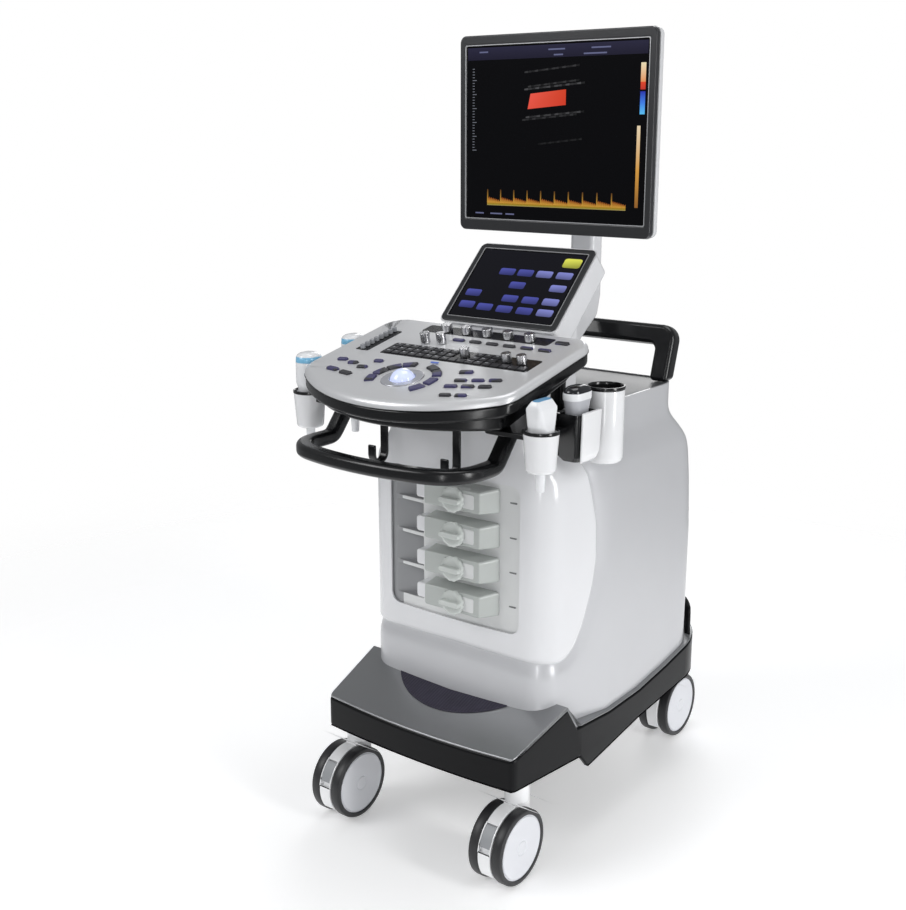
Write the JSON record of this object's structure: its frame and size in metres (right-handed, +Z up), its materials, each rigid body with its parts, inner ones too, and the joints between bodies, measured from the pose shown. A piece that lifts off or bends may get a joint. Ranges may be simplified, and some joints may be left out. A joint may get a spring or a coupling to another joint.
{
  "type": "ultrasound machine",
  "caption": "Trolley-mounted diagnostic ultrasound scanner with a swivelling monitor, tilted touch panel, key console, probe cups, probe ports and twin-wheel casters.",
  "frame": {"origin": "On the floor. It is centred front to back on the bounding box and side to side on the trolley's own plane of symmetry.", "axes": "+Z up; -Y is the front, where the operator stands; +X is the machine's left as it faces the operator, the right of a person facing it."},
  "size_m": [0.5195, 0.836, 1.326],
  "materials": {
    "caster_plastic": "smooth moulded plastic",
    "wheel_plastic": "satin moulded plastic",
    "tyre_rubber": "smooth non-marking tread",
    "pedal_plastic": "satin",
    "black_plastic": "semi-gloss moulded plastic",
    "deck_metal": "metallic paint",
    "mat_rubber": "fine ribbed rubber",
    "frame_steel": "zinc-plated sheet",
    "circuit_board": "solder resist",
    "fan_plastic": "moulded",
    "white_plastic": "smooth painted plastic",
    "side_plastic": "silver-grey metallic paint",
    "tray_plastic": "fine texture",
    "port_plastic": "smooth",
    "connector_plastic": "satin grey",
    "lock_plastic": "satin grey",
    "console_silver": "silver paint",
    "trackball_resin": "polished, faintly translucent",
    "ring_metal": "satin silver",
    "key_plastic": "fine texture",
    "knob_metal": "turned and knurled",
    "frame_grey": "satin dark grey",
    "screen_glass": "dark display glass",
    "holder_plastic": "smooth",
    "probe_plastic": "smooth",
    "convex_plastic": "smooth grey"
  },
  "bodies": {
    "trolley": {"base_shell": "black_plastic", "deck_plate": "deck_metal", "foot_mat": "mat_rubber", "inner_frame": "frame_steel", "electronics_rack": "circuit_board", "power_supply": "frame_steel", "cooling_fan": "fan_plastic", "front_cover": "white_plastic", "side_cover_left": "side_plastic", "side_cover_right": "side_plastic", "rear_cover": "side_plastic", "top_cover": "tray_plastic", "port_panel": "port_plastic", "probe_connectors": "connector_plastic", "rear_handle": "black_plastic", "rear_io_panel": "black_plastic", "console_column": "white_plastic", "console_base": "black_plastic", "console_top": "console_silver", "control_board": "circuit_board", "front_handle": "black_plastic", "cable_hooks": "black_plastic", "trackball_ring": "ring_metal", "encoder_knobs": "knob_metal", "touch_housing": "white_plastic", "touch_bezel": "frame_grey", "touch_screen": "screen_glass", "probe_holder_right": "holder_plastic", "probe_holder_left": "holder_plastic", "monitor_post": "white_plastic"},
    "caster_fl_swivel": {"caster_fl_housing": "caster_plastic"},
    "caster_fl_wheels": {"caster_fl_hubs": "wheel_plastic", "caster_fl_tyres": "tyre_rubber"},
    "caster_fr_swivel": {"caster_fr_housing": "caster_plastic"},
    "caster_fr_wheels": {"caster_fr_hubs": "wheel_plastic", "caster_fr_tyres": "tyre_rubber"},
    "caster_rl_swivel": {"caster_rl_housing": "caster_plastic"},
    "caster_rl_wheels": {"caster_rl_hubs": "wheel_plastic", "caster_rl_tyres": "tyre_rubber"},
    "caster_rr_swivel": {"caster_rr_housing": "caster_plastic"},
    "caster_rr_wheels": {"caster_rr_hubs": "wheel_plastic", "caster_rr_tyres": "tyre_rubber"},
    "pedal_left": {"brake_pedal_left": "pedal_plastic"},
    "pedal_right": {"brake_pedal_right": "pedal_plastic"},
    "lock_1": {"connector_lock_1": "lock_plastic"},
    "lock_2": {"connector_lock_2": "lock_plastic"},
    "lock_3": {"connector_lock_3": "lock_plastic"},
    "lock_4": {"connector_lock_4": "lock_plastic"},
    "trackball": {"trackball": "trackball_resin"},
    "letter_keys": {"letter_keys": "key_plastic"},
    "function_keys": {"function_keys": "key_plastic"},
    "tgc_sliders": {"tgc_sliders": "key_plastic"},
    "probe_linear": {"probe_linear": "probe_plastic"},
    "probe_convex": {"probe_convex": "convex_plastic"},
    "probe_left_front": {"probe_left_front": "probe_plastic"},
    "probe_left_rear": {"probe_left_rear": "probe_plastic"},
    "monitor_arm": {"monitor_yoke": "white_plastic"},
    "monitor": {"monitor_back": "white_plastic", "monitor_bezel": "frame_grey", "monitor_screen": "screen_glass"}
  },
  "joints": [
    {"name": "caster_fl_turn", "type": "hinge", "parent": "trolley", "child": "caster_fl_swivel", "pos_m": [-0.17, -0.234, 0.15], "axis": [0, 0, 1], "continuous": true},
    {"name": "caster_fl_roll", "type": "hinge", "parent": "caster_fl_swivel", "child": "caster_fl_wheels", "pos_m": [-0.17, -0.262, 0.0625], "axis": [1, 0, 0], "continuous": true},
    {"name": "caster_fr_turn", "type": "hinge", "parent": "trolley", "child": "caster_fr_swivel", "pos_m": [0.17, -0.234, 0.15], "axis": [0, 0, 1], "continuous": true},
    {"name": "caster_fr_roll", "type": "hinge", "parent": "caster_fr_swivel", "child": "caster_fr_wheels", "pos_m": [0.17, -0.262, 0.0625], "axis": [1, 0, 0], "continuous": true},
    {"name": "caster_rl_turn", "type": "hinge", "parent": "trolley", "child": "caster_rl_swivel", "pos_m": [-0.126, 0.3275, 0.15], "axis": [0, 0, 1], "continuous": true},
    {"name": "caster_rl_roll", "type": "hinge", "parent": "caster_rl_swivel", "child": "caster_rl_wheels", "pos_m": [-0.126, 0.3555, 0.0625], "axis": [1, 0, 0], "continuous": true},
    {"name": "caster_rr_turn", "type": "hinge", "parent": "trolley", "child": "caster_rr_swivel", "pos_m": [0.126, 0.3275, 0.15], "axis": [0, 0, 1], "continuous": true},
    {"name": "caster_rr_roll", "type": "hinge", "parent": "caster_rr_swivel", "child": "caster_rr_wheels", "pos_m": [0.126, 0.3555, 0.0625], "axis": [1, 0, 0], "continuous": true},
    {"name": "brake_pedal_left_press", "type": "hinge", "parent": "caster_fl_swivel", "child": "pedal_left", "pos_m": [-0.17, -0.31897, 0.08212], "axis": [1, 0, 0], "range_deg": [0, 10], "stiffness_Nm_per_rad": 0.4},
    {"name": "brake_pedal_right_press", "type": "hinge", "parent": "caster_fr_swivel", "child": "pedal_right", "pos_m": [0.17, -0.31897, 0.08212], "axis": [1, 0, 0], "range_deg": [0, 10], "stiffness_Nm_per_rad": 0.4},
    {"name": "connector_lock_1_turn", "type": "hinge", "parent": "trolley", "child": "lock_1", "pos_m": [0.028, -0.215, 0.599], "axis": [0, -1, 0], "range_deg": [0, 90]},
    {"name": "connector_lock_2_turn", "type": "hinge", "parent": "trolley", "child": "lock_2", "pos_m": [0.028, -0.215, 0.541], "axis": [0, -1, 0], "range_deg": [0, 90]},
    {"name": "connector_lock_3_turn", "type": "hinge", "parent": "trolley", "child": "lock_3", "pos_m": [0.028, -0.215, 0.483], "axis": [0, -1, 0], "range_deg": [0, 90]},
    {"name": "connector_lock_4_turn", "type": "hinge", "parent": "trolley", "child": "lock_4", "pos_m": [0.028, -0.215, 0.425], "axis": [0, -1, 0], "range_deg": [0, 90]},
    {"name": "trackball_roll", "type": "hinge", "parent": "trolley", "child": "trackball", "pos_m": [0, -0.30593, 0.80029], "axis": [1, 0, 0], "continuous": true},
    {"name": "letter_keys_press", "type": "slide", "parent": "trolley", "child": "letter_keys", "axis": [0, -0.2147, 0.9767], "range_m": [-0.0015, 0], "stiffness_N_per_m": 3000},
    {"name": "function_keys_press", "type": "slide", "parent": "trolley", "child": "function_keys", "axis": [0, -0.2147, 0.9767], "range_m": [-0.0015, 0], "stiffness_N_per_m": 3000},
    {"name": "tgc_slide", "type": "slide", "parent": "trolley", "child": "tgc_sliders", "axis": [1, 0, 0], "range_m": [-0.009, 0.009]},
    {"name": "probe_linear_lift", "type": "slide", "parent": "trolley", "child": "probe_linear", "axis": [0, 0, 1], "range_m": [0, 0.12]},
    {"name": "probe_convex_lift", "type": "slide", "parent": "trolley", "child": "probe_convex", "axis": [0, 0, 1], "range_m": [0, 0.12]},
    {"name": "probe_left_front_lift", "type": "slide", "parent": "trolley", "child": "probe_left_front", "axis": [0, 0, 1], "range_m": [0, 0.12]},
    {"name": "probe_left_rear_lift", "type": "slide", "parent": "trolley", "child": "probe_left_rear", "axis": [0, 0, 1], "range_m": [0, 0.12]},
    {"name": "monitor_swivel", "type": "hinge", "parent": "trolley", "child": "monitor_arm", "pos_m": [0, 0.209, 1.161], "axis": [0, 0, 1], "range_deg": [-45, 45]},
    {"name": "monitor_tilt", "type": "hinge", "parent": "monitor_arm", "child": "monitor", "pos_m": [0, 0.148, 1.161], "axis": [-1, 0, 0], "range_deg": [-5, 20]}
  ]
}
